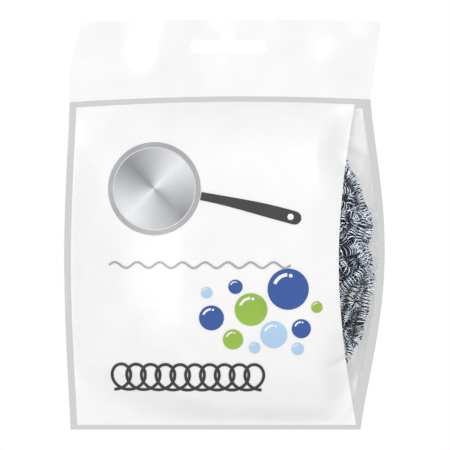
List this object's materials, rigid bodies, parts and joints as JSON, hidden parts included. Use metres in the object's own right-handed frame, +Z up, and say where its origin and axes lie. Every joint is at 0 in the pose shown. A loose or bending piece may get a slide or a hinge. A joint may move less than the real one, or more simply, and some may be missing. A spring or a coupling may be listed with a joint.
{
  "type": "pot scrubber",
  "caption": "Spiral wire pot scrubber wound from springy galvanised strands, sealed in a clear, white-printed header bag that hangs by a Euro slot.",
  "frame": {"origin": "middle of the Euro hang slot, in the plane of the welds", "axes": "+Z up along the hanging pack, +X to the right seen from the front, +Y to the back, so the front faces -Y"},
  "size_m": [0.1353, 0.0398, 0.1729],
  "materials": {
    "white_film": "white-printed film, soft gloss, slightly wavy",
    "clear_film": "clear film, glossy, faintly grey where two plies are welded",
    "white_ink": "white ink under gloss film, with a plain coloured design on the front",
    "zinc_wire": "bright galvanised spring wire, bluish, with dark gaps"
  },
  "bodies": {
    "header": {"header_front": "white_film", "header_back": "white_film"},
    "bag": {"top_seal": "clear_film", "bottom_seal": "clear_film", "left_seal": "clear_film", "right_seal": "clear_film", "front_film": "clear_film", "back_film": "clear_film", "front_print": "white_ink", "back_print": "white_ink"},
    "scrubber": {"strand_front": "zinc_wire", "strand_middle": "zinc_wire", "strand_back": "zinc_wire", "rim_spring": "zinc_wire"}
  },
  "joints": [
    {"name": "bag_swing", "type": "hinge", "parent": "header", "child": "bag", "pos_m": [0, 0, -0.0217], "axis": [1, 0, 0], "range_deg": [-90, 90]},
    {"name": "scrubber_slide", "type": "slide", "parent": "bag", "child": "scrubber", "axis": [0, 0, -1], "range_m": [0, 0.128], "deforming": ["front_film", "back_film", "front_print", "back_print", "left_seal", "right_seal", "bottom_seal"]}
  ]
}
